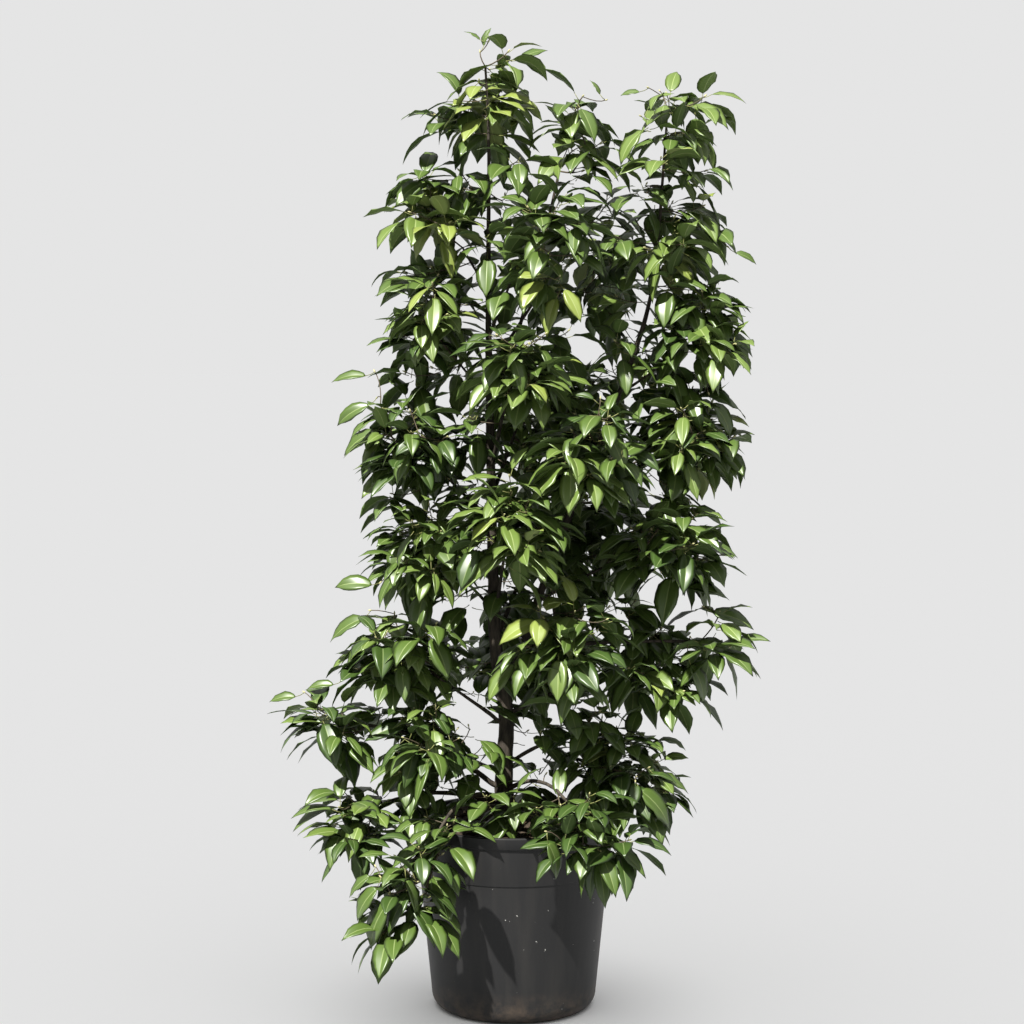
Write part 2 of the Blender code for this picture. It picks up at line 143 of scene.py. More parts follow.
def plain_material(
    name: str, colour: tuple[float, float, float], roughness: float, specular: float
) -> bpy.types.Material:
    """A Principled material with plain numbers on its own sockets.

    Args:
        name: The material's name.
        colour: Base colour, linear.
        roughness: Surface roughness.
        specular: Specular level.

    Returns:
        The new material.
    """
    material = bpy.data.materials.new(name)
    material.use_nodes = True
    shader = material.node_tree.nodes["Principled BSDF"]
    shader.inputs["Base Color"].default_value = (*colour, 1.0)
    shader.inputs["Roughness"].default_value = roughness
    shader.inputs["Specular IOR Level"].default_value = specular
    return material


def add_node(material: bpy.types.Material, kind: str, **inputs: float | tuple) -> bpy.types.Node:
    """Adds a node to a material and gives its inputs, named with _ for a space, plain values."""
    node = material.node_tree.nodes.new(kind)
    for name, value in inputs.items():
        node.inputs[name.replace("_", " ")].default_value = value
    return node


def add_noise(
    material: bpy.types.Material,
    vector: bpy.types.NodeSocket,
    scale: float,
    detail: float,
    roughness: float = 0.5,
) -> bpy.types.NodeSocket:
    """Adds a noise pattern and returns its value's socket."""
    node = add_node(material, "ShaderNodeTexNoise", Scale=scale, Detail=detail, Roughness=roughness)
    material.node_tree.links.new(vector, node.inputs["Vector"])
    return node.outputs["Fac"]


def add_ramp(
    material: bpy.types.Material,
    source: bpy.types.NodeSocket,
    start: tuple[float, tuple[float, float, float]],
    end: tuple[float, tuple[float, float, float]],
) -> bpy.types.NodeSocket:
    """Turns a value into a colour between two, each given with its value, and returns the socket."""
    node = material.node_tree.nodes.new("ShaderNodeValToRGB")
    for element, (position, colour) in zip(node.color_ramp.elements, (start, end)):
        element.position = position
        element.color = (*colour, 1.0)
    material.node_tree.links.new(source, node.inputs["Fac"])
    return node.outputs["Color"]


def stretched(material: bpy.types.Material, height_scale: float) -> bpy.types.NodeSocket:
    """The object's own coordinates with the height scaled, which draws a pattern out upwards."""
    place = material.node_tree.nodes.new("ShaderNodeTexCoord")
    if height_scale == 1.0:
        return place.outputs["Object"]
    stretch = add_node(material, "ShaderNodeMapping", Scale=(1.0, 1.0, height_scale))
    material.node_tree.links.new(place.outputs["Object"], stretch.inputs["Vector"])
    return stretch.outputs["Vector"]


def unit(vectors: np.ndarray) -> np.ndarray:
    """Vectors, or one vector, at length one."""
    return vectors / np.maximum(np.linalg.norm(vectors, axis=-1, keepdims=True), 1e-9)


def add_mesh(
    name: str,
    vertices: np.ndarray,
    faces: list[tuple[int, ...]] | np.ndarray,
    materials: list[bpy.types.Material],
    slots: np.ndarray | None = None,
    smooth: bool = True,
) -> bpy.types.Object:
    """Makes a mesh object from arrays.

    Args:
        name: The piece's name.
        vertices: Points, one row each.
        faces: Corner numbers of each face.
        materials: The piece's materials.
        slots: Material number of each face.
        smooth: Whether the faces are shaded smooth.

    Returns:
        The new object, linked to the scene.
    """
    mesh = bpy.data.meshes.new(name)
    mesh.from_pydata(np.asarray(vertices, float).tolist(), [], [tuple(f) for f in faces])
    for material in materials:
        mesh.materials.append(material)
    if slots is not None:
        mesh.polygons.foreach_set("material_index", np.asarray(slots, np.int32))
    mesh.polygons.foreach_set("use_smooth", np.full(len(mesh.polygons), smooth))
    mesh.update()
    made = bpy.data.objects.new(name, mesh)
    bpy.context.scene.collection.objects.link(made)
    LOG.info("%s: %d faces", name, len(mesh.polygons))
    return made


class MeshBin:
    """Gathers the points and faces of many small shapes for one joined piece."""

    def __init__(self) -> None:
        """Starts empty."""
        self.points: list[np.ndarray] = []
        self.faces: list[tuple[int, ...]] = []
        self.slots: list[int] = []
        self.count = 0

    def add(self, points: np.ndarray, faces: list[tuple[int, ...]], slot: int = 0) -> None:
        """Adds one shape."""
        self.points.append(points)
        self.faces.extend(tuple(i + self.count for i in face) for face in faces)
        self.slots.extend([slot] * len(faces))
        self.count += len(points)

    def piece(
        self, name: str, materials: list[bpy.types.Material], smooth: bool = True
    ) -> bpy.types.Object:
        """Makes the joined piece."""
        return add_mesh(name, np.concatenate(self.points), self.faces, materials, self.slots, smooth)


@dataclass
class Limb:
    """A limb's centre line and its radius at each point."""

    name: str
    line: np.ndarray
    radii: np.ndarray

    @classmethod
    def from_node(cls, name: str, cuts: int, upright: bool = False) -> "Limb":
        """Reads a limb's centre line from its node, by cutting it across at even steps.

        Args:
            name: The node's name.
            cuts: How many cuts.
            upright: Whether the cuts are level; otherwise they stand square to the limb's chord.

        Returns:
            The limb, from its lower or left end to the other.
        """
        mesh = frame["nodes"][name].data
        points = np.array([v.co for v in mesh.vertices])
        edges = np.array([e.vertices for e in mesh.edges])
        if upright:
            along = UP
        else:
            start = points[np.argmax(np.linalg.norm(points - points.mean(0), axis=1))]
            end = points[np.argmax(np.linalg.norm(points - start, axis=1))]
            along = unit(end - start)
        height = points @ along
        low, high = height.min(), height.max()
        line, radii = [], []
        for share in np.linspace(0.015, 0.985, cuts):
            level = low + (high - low) * share
            a, b = height[edges[:, 0]] - level, height[edges[:, 1]] - level
            crossing = (a * b) < 0.0
            part = (a / np.where(np.abs(a - b) < 1e-12, 1.0, a - b))[crossing][:, None]
            ring = points[edges[crossing, 0]] * (1.0 - part) + points[edges[crossing, 1]] * part
            if len(ring) < 3:
                continue
            centre = 0.5 * (ring.min(0) + ring.max(0))
            line.append(centre)
            radii.append(np.linalg.norm(ring - centre, axis=1).mean())
        return cls(name, np.array(line), np.array(radii))

    def nearest(self, point: np.ndarray) -> int:
        """The number of the centre-line point nearest to a point."""
        return int(np.argmin(np.linalg.norm(self.line - point, axis=1)))

    def started_at(self, host: "Limb") -> "Limb":
        """The same limb, turned so that it leaves its host, with its foot inside the host."""
        ends = [np.linalg.norm(host.line - self.line[k], axis=1).min() for k in (0, -1)]
        line, radii = (self.line, self.radii) if ends[0] < ends[1] else (self.line[::-1], self.radii[::-1])
        foot = host.line[host.nearest(line[0])]
        return Limb(self.name, np.vstack([foot, line]), np.concatenate([[radii[0] * 1.15], radii]))

    def resampled(self, spacing: float) -> "Limb":
        """The same limb with evenly spaced points."""
        steps = np.linalg.norm(np.diff(self.line, axis=0), axis=1)
        reach = np.concatenate([[0.0], np.cumsum(steps)])
        count = max(3, int(reach[-1] / spacing) + 1)
        even = np.linspace(0.0, reach[-1], count)
        line = np.stack([np.interp(even, reach, self.line[:, k]) for k in range(3)], axis=1)
        for _ in range(3):
            line[1:-1] = 0.25 * line[:-2] + 0.5 * line[1:-1] + 0.25 * line[2:]
        return Limb(self.name, line, np.interp(even, reach, self.radii))


def tube(
    line: np.ndarray, radii: np.ndarray, sides: int, relief: Relief | None = None
) -> tuple[np.ndarray, list[tuple[int, ...]]]:
    """Points and faces of a closed tube along a line.

    Args:
        line: Centre points.
        radii: Radius at each of them.
        sides: Sides of the tube.
        relief: Gives the radii round a ring, from its number, its angles and its two cross axes.

    Returns:
        The points and the faces.
    """
    count = len(line)
    along = unit(np.gradient(line, axis=0))
    side = unit(np.cross(along[0], (0.31, 0.89, 0.33)))
    angles = np.arange(sides) * 2.0 * math.pi / sides
    rings = []
    for k in range(count):
        side = unit(side - along[k] * (side @ along[k]))
        other = np.cross(along[k], side)
        radius = radii[k] * np.ones(sides) if relief is None else relief(k, angles, side, other)
        rings.append(
            line[k]
            + (np.cos(angles) * radius)[:, None] * side
            + (np.sin(angles) * radius)[:, None] * other
        )
    points = np.concatenate([*rings, line[:1], line[-1:]])
    faces = []
    for k in range(count - 1):
        for s in range(sides):
            t = (s + 1) % sides
            faces.append((k * sides + s, k * sides + t, (k + 1) * sides + t, (k + 1) * sides + s))
    last = (count - 1) * sides
    for s in range(sides):
        t = (s + 1) % sides
        faces.append((count * sides, t, s))
        faces.append((count * sides + 1, last + s, last + t))
    return points, faces


@dataclass(frozen=True)
class BarkFinish:
    """Dark grey-brown bark with paler ridges."""

    dark: tuple[float, float, float] = (0.019, 0.016, 0.013)
    light: tuple[float, float, float] = (0.082, 0.068, 0.052)
    grain: float = 90.0
    stretch: float = 0.22
    roughness: float = 0.86

    def material(self, name: str) -> bpy.types.Material:
        """The bark's procedural material."""
        material = plain_material(name, self.dark, self.roughness, 0.25)
        links = material.node_tree.links
        shader = material.node_tree.nodes["Principled BSDF"]
        pattern = add_noise(material, stretched(material, self.stretch), self.grain, 8.0, 0.65)
        colour = add_ramp(material, pattern, (0.38, self.dark), (0.68, self.light))
        bump = add_node(material, "ShaderNodeBump", Strength=0.7, Distance=0.002)
        links.new(colour, shader.inputs["Base Color"])
        links.new(pattern, bump.inputs["Height"])
        links.new(bump.outputs["Normal"], shader.inputs["Normal"])
        return material


@dataclass
class Wood:
    """The trunk, the second leader and the boughs, with bark relief."""

    ridge_depth: float = 0.10
    ridge_scale: float = 75.0
    ridge_stretch: float = 0.25
    swell_depth: float = 0.07
    swell_scale: float = 14.0
    sunk: float = 0.004
    trunk_sides: int = 40
    stem_sides: int = 20
    bough_sides: int = 14
    ring_spacing: float = 0.006
    finish: BarkFinish = field(default_factory=BarkFinish)
    limbs: dict[str, Limb] = field(default_factory=dict)

    def read(self) -> None:
        """Reads every limb's centre line from the frame."""
        self.limbs["trunk"] = Limb.from_node("trunk", 60, upright=True)
        self.limbs["right_stem"] = Limb.from_node("right_stem", 40, upright=True)
        hosts = [self.limbs["trunk"], self.limbs["right_stem"]]
        stem = self.limbs["right_stem"]
        self.limbs["right_stem"] = stem.started_at(hosts[0])
        for name in sorted(n for n in frame["nodes"] if n.startswith("bough_")):
            limb = Limb.from_node(name, 7)
            ends = (limb.line[0], limb.line[-1])
            gaps = [min(np.linalg.norm(h.line - end, axis=1).min() for end in ends) for h in hosts]
            self.limbs[name] = limb.started_at(hosts[int(np.argmin(gaps))])

    def relief(self, limb: Limb) -> Relief:
        """A function that gives the bark's radii round each ring of a limb."""

        def radii(k: int, angles: np.ndarray, side: np.ndarray, other: np.ndarray) -> np.ndarray:
            base = limb.radii[k]
            found = []
            for angle in angles:
                out = side * math.cos(angle) + other * math.sin(angle)
                spot = Vector(limb.line[k] + out * base)
                drawn = Vector((spot.x, spot.y, spot.z * self.ridge_stretch)) * self.ridge_scale
                ridges = self.ridge_depth * noise.fractal(drawn, 1.0, 2.0, 3)
                swells = self.swell_depth * noise.noise(spot * self.swell_scale)
                found.append(base * (1.0 + ridges + swells))
            return np.array(found)

        return radii

    def build(self) -> None:
        """Makes the trunk, the second leader and the boughs."""
        bark = self.finish.material("bark")
        for name, limb in self.limbs.items():
            sides = {"trunk": self.trunk_sides, "right_stem": self.stem_sides}.get(name, self.bough_sides)
            fine = limb.resampled(self.ring_spacing)
            points, faces = tube(fine.line, fine.radii, sides, self.relief(fine))
            if name == "trunk":
                points[:, 2] = np.maximum(points[:, 2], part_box("trunk")[0].z - self.sunk)
            piece = add_mesh(name + "_bark", points, faces, [bark])
            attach(piece, "root")
            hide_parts(name)
        LOG.info("bark on %d limbs", len(self.limbs))


@dataclass
class LeafShape:
    """A pointed oval blade with a drip tip, as a thin closed shell of two faces."""

    stations: tuple[float, ...] = (0.0, 0.08, 0.21, 0.38, 0.56, 0.73, 0.87, 1.0)
    widths: tuple[float, ...] = (0.0, 0.50, 0.86, 1.00, 0.95, 0.66, 0.25, 0.0)
    across: tuple[float, ...] = (-1.0, -0.54, -0.055, 0.0, 0.055, 0.54, 1.0)
    thickness: float = 0.0006

    def grid_faces(self) -> tuple[np.ndarray, np.ndarray, int]:
        """Faces of one leaf.

        Returns:
            The faces as rows of four corners (a triangle repeats its last), each face's material
            number, and the number of points in a leaf.
        """
        rows, cols = len(self.stations) - 2, len(self.across)
        inner = cols - 2
        base, tip = rows * cols + rows * inner, rows * cols + rows * inner + 1
        top = np.arange(rows * cols).reshape(rows, cols)
        low = top.copy()
        low[:, 1:-1] = rows * cols + np.arange(rows * inner).reshape(rows, inner)
        rib = [j in (cols // 2 - 1, cols // 2) for j in range(cols - 1)]
        faces, slots = [], []
        for j in range(cols - 1):
            upper_slot = 2 if rib[j] else 0
            for i in range(rows - 1):
                faces.append((top[i, j], top[i, j + 1], top[i + 1, j + 1], top[i + 1, j]))
                slots.append(upper_slot)
                faces.append((low[i, j], low[i + 1, j], low[i + 1, j + 1], low[i, j + 1]))
                slots.append(2 if rib[j] else 1)
            faces.append((base, top[0, j + 1], top[0, j], top[0, j]))
            slots.append(upper_slot)
            faces.append((base, low[0, j], low[0, j + 1], low[0, j + 1]))
            slots.append(1)
            faces.append((top[-1, j], top[-1, j + 1], tip, tip))
            slots.append(upper_slot)
            faces.append((low[-1, j + 1], low[-1, j], tip, tip))
            slots.append(1)
        return np.array(faces), np.array(slots), tip + 1

    def points(self, leaves: dict[str, np.ndarray]) -> np.ndarray:
        """Points of many leaves at once.

        Args:
            leaves: Arrays base, along, face (unit vectors), length, width, bend, fold, twist,
                wave and phase, one row for each leaf.

        Returns:
            An array of leaves by points by three.
        """
        t = np.array(self.stations)[None, :]
        length = leaves["length"][:, None]
        bend = leaves["bend"][:, None]
        run = length * np.sin(bend * t) / bend
        sink = length * (1.0 - np.cos(bend * t)) / bend
        along, face = leaves["along"][:, None, :], leaves["face"][:, None, :]
        middle = leaves["base"][:, None, :] + along * run[..., None] - face * sink[..., None]
        turn = (bend * t)[..., None]
        face_t = face * np.cos(turn) + along * np.sin(turn)
        side = np.cross(along, face)
        roll = (leaves["twist"][:, None] * t)[..., None]
        side_t = side * np.cos(roll) + face_t * np.sin(roll)
        face_t = face_t * np.cos(roll) - side * np.sin(roll)
        half = leaves["width"][:, None] * np.array(self.widths)[None, :]
        s = np.array(self.across)[None, None, :]
        reach = half[..., None] * s
        fold = leaves["fold"][:, None, None]
        ripple = leaves["wave"][:, None, None] * np.sin(
            t[..., None] * 2.0 * math.pi * 2.6 + leaves["phase"][:, None, None] + np.sign(s) * 0.9
        )
        lift = np.abs(reach) * np.sin(fold) * (1.0 - 0.45 * np.abs(s)) + ripple * s * s * half[..., None]
        flat = reach * np.cos(fold)
        upper = middle[:, :, None, :] + side_t[:, :, None, :] * flat[..., None]
        upper = upper + face_t[:, :, None, :] * lift[..., None]
        depth = self.thickness * (1.0 - s * s)
        lower = upper - face_t[:, :, None, :] * depth[..., None]
        n = len(leaves["length"])
        return np.concatenate(
            [
                upper[:, 1:-1].reshape(n, -1, 3),
                lower[:, 1:-1, 1:-1].reshape(n, -1, 3),
                middle[:, :1],
                middle[:, -1:],
            ],
            axis=1,
        )


@dataclass(frozen=True)
class OuterLeaf:
    """One leaf that stands out from the crown, by the two ends of its blade."""

    base: tuple[float, float, float]
    tip: tuple[float, float, float]

    def ahead(self) -> np.ndarray:
        """The direction from the blade's base to its tip."""
        return unit(np.array(self.tip) - np.array(self.base))

    def foot(self) -> np.ndarray:
        """Where its stalk leaves the twig."""
        return np.array(self.base) - self.ahead() * 0.02 + UP * 0.004


@dataclass(frozen=True)
class SkyGap:
    """An oval of open sky through the crown, on the upright plane through the pot's axis."""

    x: float
    z: float
    half_x: float
    half_z: float

    def holds(self, point: np.ndarray) -> bool:
        """Whether a point covers the gap, seen from where the camera stands."""
        eye = np.array(EYE)
        share = eye[1] / (eye[1] - point[1])
        seen = eye + (point - eye) * share
        return ((seen[0] - self.x) / self.half_x) ** 2 + ((seen[2] - self.z) / self.half_z) ** 2 < 1.0


OUTER_LEAVES = (
    OuterLeaf((-0.323, -0.05, 1.412), (-0.402, -0.05, 1.390)),
    OuterLeaf((-0.315, -0.05, 1.349), (-0.387, -0.05, 1.294)),
    OuterLeaf((-0.302, -0.05, 1.290), (-0.372, -0.05, 1.228)),
    OuterLeaf((-0.258, -0.05, 1.219), (-0.337, -0.05, 1.186)),
    OuterLeaf((-0.312, -0.05, 0.952), (-0.398, -0.05, 0.937)),
    OuterLeaf((-0.330, -0.05, 0.879), (-0.406, -0.05, 0.812)),
    OuterLeaf((-0.292, -0.10, 0.837), (-0.365, -0.10, 0.771)),
    OuterLeaf((-0.481, -0.06, 0.705), (-0.543, -0.06, 0.685)),
    OuterLeaf((-0.397, -0.06, 0.732), (-0.459, -0.06, 0.714)),
    OuterLeaf((-0.422, -0.08, 0.653), (-0.484, -0.08, 0.606)),
    OuterLeaf((0.484, -0.02, 1.680), (0.532, -0.02, 1.650)),
    OuterLeaf((0.470, -0.02, 1.490), (0.513, -0.02, 1.413)),
    OuterLeaf((0.434, -0.04, 1.353), (0.472, -0.04, 1.265)),
    OuterLeaf((0.455, 0.00, 1.364), (0.513, 0.00, 1.307)),
    OuterLeaf((0.409, -0.04, 1.205), (0.469, -0.04, 1.177)),
    OuterLeaf((0.401, -0.04, 1.122), (0.458, -0.04, 1.073)),
    OuterLeaf((0.423, -0.04, 1.044), (0.496, -0.04, 1.000)),
    OuterLeaf((0.404, -0.06, 1.042), (0.446, -0.06, 0.960)),
    OuterLeaf((0.383, -0.06, 0.947), (0.478, -0.06, 0.907)),
    OuterLeaf((0.436, -0.06, 0.892), (0.531, -0.06, 0.841)),
    OuterLeaf((0.404, -0.08, 0.828), (0.490, -0.08, 0.781)),
    OuterLeaf((0.387, -0.08, 0.781), (0.412, -0.08, 0.684)),
    OuterLeaf((-0.265, -0.33, 0.312), (-0.295, -0.33, 0.196)),
    OuterLeaf((-0.227, -0.33, 0.362), (-0.217, -0.33, 0.261)),
    OuterLeaf((-0.288, -0.32, 0.342), (-0.327, -0.32, 0.258)),
    OuterLeaf((-0.304, -0.30, 0.363), (-0.347, -0.30, 0.304)),
    OuterLeaf((0.071, -0.33, 0.441), (0.082, -0.33, 0.353)),
    OuterLeaf((0.275, -0.14, 0.513), (0.336, -0.14, 0.412)),
    OuterLeaf((0.309, -0.12, 0.542), (0.383, -0.12, 0.487)),
    OuterLeaf((-0.065, 0.00, 2.129), (-0.045, 0.00, 2.170)),
    OuterLeaf((-0.074, 0.00, 2.142), (-0.113, 0.00, 2.159)),
    OuterLeaf((0.013, 0.02, 2.101), (0.079, 0.02, 2.119)),
    OuterLeaf((0.274, -0.02, 2.028), (0.231, -0.02, 2.017)),
    OuterLeaf((0.189, 0.03, 2.027), (0.163, 0.03, 2.059)),
)
SKY_GAPS = (
    SkyGap(0.134, 1.628, 0.020, 0.026),
    SkyGap(0.124, 1.479, 0.018, 0.018),
    SkyGap(0.278, 1.556, 0.018, 0.018),
    SkyGap(0.194, 1.468, 0.015, 0.015),
    SkyGap(0.036, 1.358, 0.015, 0.015),
    SkyGap(-0.053, 1.036, 0.018, 0.020),
    SkyGap(-0.031, 0.991, 0.013, 0.018),
    SkyGap(-0.098, 0.868, 0.022, 0.049),
    SkyGap(-0.164, 0.890, 0.018, 0.020),
    SkyGap(-0.093, 0.643, 0.027, 0.082),
    SkyGap(0.030, 0.593, 0.022, 0.050),
    SkyGap(0.070, 0.502, 0.036, 0.018),
    SkyGap(0.232, 2.013, 0.044, 0.078),
    SkyGap(0.314, 0.935, 0.031, 0.018),
    SkyGap(0.389, 1.446, 0.016, 0.020),
)

EXTRA_SPRAYS = (
    (0.06, -0.03, 0.62),
    (0.10, 0.06, 0.56),
    (0.16, 0.02, 0.60),
    (0.06, 0.09, 0.51),
    (0.12, -0.05, 0.70),
    (0.19, -0.04, 0.67),
    (0.08, 0.06, 0.74),
    (0.14, 0.08, 0.66),
    (-0.05, 0.08, 0.66),
    (-0.07, -0.05, 0.60),
    (0.00, -0.14, 0.50),
    (0.05, -0.19, 0.485),
    (0.10, -0.20, 0.495),
    (0.07, -0.10, 0.54),
    (-0.06, -0.14, 0.50),
    (-0.10, -0.06, 0.64),
    (-0.18, 0.00, 1.65),
    (-0.31, -0.04, 0.49),
    (0.27, 0.00, 0.91),
    (-0.24, 0.02, 1.64),
    (-0.02, 0.05, 1.81),
    (0.12, 0.00, 1.51),
    (-0.18, 0.00, 1.43),
    (0.21, -0.02, 0.90),
    (-0.17, -0.08, 0.52),
    (-0.09, -0.03, 0.71),
    (-0.15, 0.00, 0.92),
    (0.41, 0.00, 1.42),
    (-0.24, -0.06, 0.48),
    (0.15, 0.00, 2.02),
    (0.44, 0.00, 1.60),
    (0.15, 0.00, 1.86),
    (-0.10, -0.08, 0.57),
    (-0.22, -0.02, 0.67),
    (0.19, 0.00, 1.92),
    (-0.13, -0.20, 0.455),
    (-0.19, -0.17, 0.460),
    (0.42, 0.00, 1.86),
    (0.03, 0.04, 0.61),
    (-0.24, 0.00, 1.42),
    (-0.31, 0.00, 0.67),
    (0.35, 0.00, 1.17),
    (0.29, 0.00, 1.83),
    (-0.17, 0.00, 1.98),
    (-0.27, 0.00, 1.15),
    (0.36, 0.00, 1.44),
    (-0.09, -0.02, 0.78),
    (-0.12, 0.00, 1.86),
    (0.07, 0.02, 0.64),
    (-0.21, 0.00, 1.85),
)


@dataclass
class Hub:
    """The end of a leafy twig: where a cluster of leaves radiates from."""

    place: np.ndarray
    along: np.ndarray
    leaves: int
    tone: Tone
    size: float
    mass: str


@dataclass
class Crown:
    """Twigs and leaves that grow on from the limbs and fill the masses of foliage."""

    seed: int = 11
    hub_spacing: float = 0.065
    inner_spacing: float = 0.070
    edge_inset: float = 0.033
    inner_inset: float = 0.075
    hub_lift: float = 0.012
    spur_step: float = 0.050
    side_thinning: float = 0.60
    hanging_share: float = 0.30
    top_airiness: float = 1.22
    top_from: float = 1.66
    leaf_length: float = 0.107
    leaf_half_width: float = 0.0240
    twig_tip_radius: float = 0.0011
    twig_power: float = 2.4
    step: float = 0.018
    leaves_per_piece: int = 1200
    tries: int = 2600
    layer_depth: float = 2.6
    sideways: float = 0.75
    hub_leaves: tuple[int, int] = (5, 10)
    hub_sizes: tuple[float, float] = (0.80, 1.08)
    spur_reach: tuple[float, float] = (0.05, 0.12)
    stalk_reach: tuple[float, float] = (0.014, 0.024)
    bend_deg: tuple[float, float] = (32.0, 80.0)
    outer_bend_deg: float = 48.0
    thickest_twig: float = 0.0055
    box_slack: float = 0.012
    young_share: float = 0.35
    shape: LeafShape = field(default_factory=LeafShape)

    def __post_init__(self) -> None:
        """Starts the seeded draws and the empty lists."""
        self.rng = np.random.default_rng(self.seed)
        self.hubs: list[Hub] = []
        self.nodes: list[np.ndarray] = []
        self.parents: list[int] = []
        self.twigs: list[list[int]] = []
        self.grown: list[Hub] = []
        self.stalks = MeshBin()
        self.masses = sorted(n for n in frame["nodes"] if n.startswith("foliage_"))

    def choose_hubs(self) -> None:
        """Places the hubs: a layer just inside each mass's surface, and a sparser core."""
        kept = np.zeros((0, 3))
        for name in self.masses:
            mesh = frame["nodes"][name].data
            points = np.array([v.co for v in mesh.vertices])
            polygons = [polygon.vertices[:] for polygon in mesh.polygons]
            tree = BVHTree.FromPolygons([v.co for v in mesh.vertices], polygons)
            low, high = points.min(0), points.max(0)
            centre = 0.5 * (low + high)
            airy = self.top_airiness if centre[2] > self.top_from else 1.0
            for wanted, spacing in (
                (self.edge_inset, self.hub_spacing * airy),
                (self.inner_inset, self.inner_spacing * airy),
            ):
                for _ in range(self.tries):
                    spot = low + (high - low) * self.rng.random(3)
                    near, normal, _, gap = tree.find_nearest(Vector(spot))
                    if (Vector(spot) - near).dot(normal) > 0.0 or gap < wanted:
                        continue
                    if wanted == self.edge_inset and gap > wanted * self.layer_depth:
                        continue
                    spot = spot + UP * self.hub_lift
                    if any(sky.holds(spot) for sky in SKY_GAPS):
                        continue
                    if abs(normal.x) > self.sideways and self.rng.random() < self.side_thinning:
                        continue
                    if len(kept) and np.linalg.norm(kept - spot, axis=1).min() < spacing:
                        continue
                    kept = np.vstack([kept, spot])
                    out = unit(spot - centre) + np.array(normal) * 0.5
                    out[2] = out[2] * 0.5 + 0.42
                    jitter = self.rng.normal(0.0, 0.22, 3)
                    tone = self.tone_at(spot, gap)
                    leaves = int(self.rng.integers(*self.hub_leaves))
                    size = float(self.rng.uniform(*self.hub_sizes))
                    self.hubs.append(Hub(spot, unit(out + jitter), leaves, tone, size, name))
        LOG.info("%d hubs", len(self.hubs))

    def choose_spurs(self, wood: Wood) -> None:
        """Places short leafy spurs up both leaders, between the masses."""
        for place in EXTRA_SPRAYS:
            out = unit(np.array((place[0], place[1] - 0.1, 0.15)))
            self.hubs.append(Hub(np.array(place), out, 6, Tone.MIDDLE, 1.0, ""))
        for name, low, high in (("trunk", 0.80, 1.90), ("right_stem", 0.96, 1.90)):
            line = wood.limbs[name].line
            for k, height in enumerate(np.arange(low, high, self.spur_step)):
                foot = line[int(np.argmin(np.abs(line[:, 2] - height)))]
                angle = GOLDEN_TURN * k - 0.9
                out = np.array((math.cos(angle), math.sin(angle), 0.0))
                place = foot + out * self.rng.uniform(*self.spur_reach) + UP * 0.02
                leaves = int(self.rng.integers(5, 9))
                tone = Tone.MIDDLE if self.rng.random() < 0.6 else Tone.BRIGHT
                self.hubs.append(Hub(place, unit(out + UP * 0.5), leaves, tone, 0.95, ""))

    def tone_at(self, spot: np.ndarray, gap: float) -> Tone:
        """The tone dealt to a spray: a random spread, paler high up, partly for young growth and partly as
        painted light, and deeper inside the crown as painted shade.
        """
        # Paler with height: partly young growth, partly painted light from above.
        brightness = 0.35 + 0.30 * (spot[2] / CAD_BOX[1].z) + self.rng.normal(0.0, 0.22)
        # The tips above 1.9 m get paler still for young growth; sprays deep inside a mass get a painted
        # shade.
        brightness += 1.4 * max(0.0, spot[2] - 1.90) - 2.0 * max(0.0, gap - 0.06)
        if brightness > 0.93:
            return Tone.YOUNG
        if brightness > 0.62:
            return Tone.BRIGHT
        return Tone.MIDDLE if brightness > 0.32 else Tone.DEEP

    def grow(self, wood: Wood) -> None:
        """Joins every hub to the limbs by curved twigs, nearest first."""
        owner = []
        for name, limb in wood.limbs.items():
            fine = limb.resampled(self.step)
            for k, point in enumerate(fine.line):
                self.nodes.append(point)
                self.parents.append(len(self.nodes) - 2 if k else -1)
                owner.append(name)
        wood_count = len(self.nodes)
        self.join([h for h in self.hubs if not h.mass], list(range(wood_count)))
        for mass in self.masses:
            bough = "bough_" + mass[len("foliage_"):]
            hubs = [h for h in self.hubs if h.mass == mass]
            if bough in wood.limbs:
                own = [k for k in range(wood_count) if owner[k] == bough]
                open_nodes = own[len(own) // 2:]
            else:
                low, high = (np.array(c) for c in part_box(mass))
                open_nodes = [
                    k
                    for k in range(wood_count)
                    if owner[k] in ("trunk", "right_stem")
                    and (self.nodes[k] > low - 0.03).all()
                    and (self.nodes[k] < high + 0.02).all()
                ]
            self.join(hubs, open_nodes)
        for leaf in OUTER_LEAVES:
            hub = Hub(leaf.foot(), leaf.ahead(), 0, Tone.MIDDLE, 1.0, "")
            nearest = int(np.argmin(np.linalg.norm(np.array(self.nodes) - hub.place, axis=1)))
            hub.along = unit(unit(hub.place - self.nodes[nearest]) + leaf.ahead() * 0.4)
            self.add_twig(list(range(len(self.nodes))), [0.0] * len(self.nodes), nearest, hub)

    def join(self, hubs: list[Hub], open_nodes: list[int]) -> None:
        """Joins hubs to the open nodes, nearest first.

        Args:
            hubs: The hubs to join.
            open_nodes: Numbers of the nodes that a twig may leave from. New twigs add theirs.
        """
        if not hubs:
            return
        far = [0.0] * len(open_nodes)
        start = np.array([self.nodes[k] for k in open_nodes])
        hubs = sorted(hubs, key=lambda h: float(np.linalg.norm(start - h.place, axis=1).min()))
        for hub in hubs:
            spots = np.array([self.nodes[k] for k in open_nodes])
            away = hub.place - spots
            reach = np.linalg.norm(away, axis=1)
            down = np.maximum(0.0, -away[:, 2]) * 0.35
            best = int(np.argmin(reach + 0.35 * np.array(far) + down + (reach < 0.03) * 0.2))
            self.add_twig(open_nodes, far, best, hub)

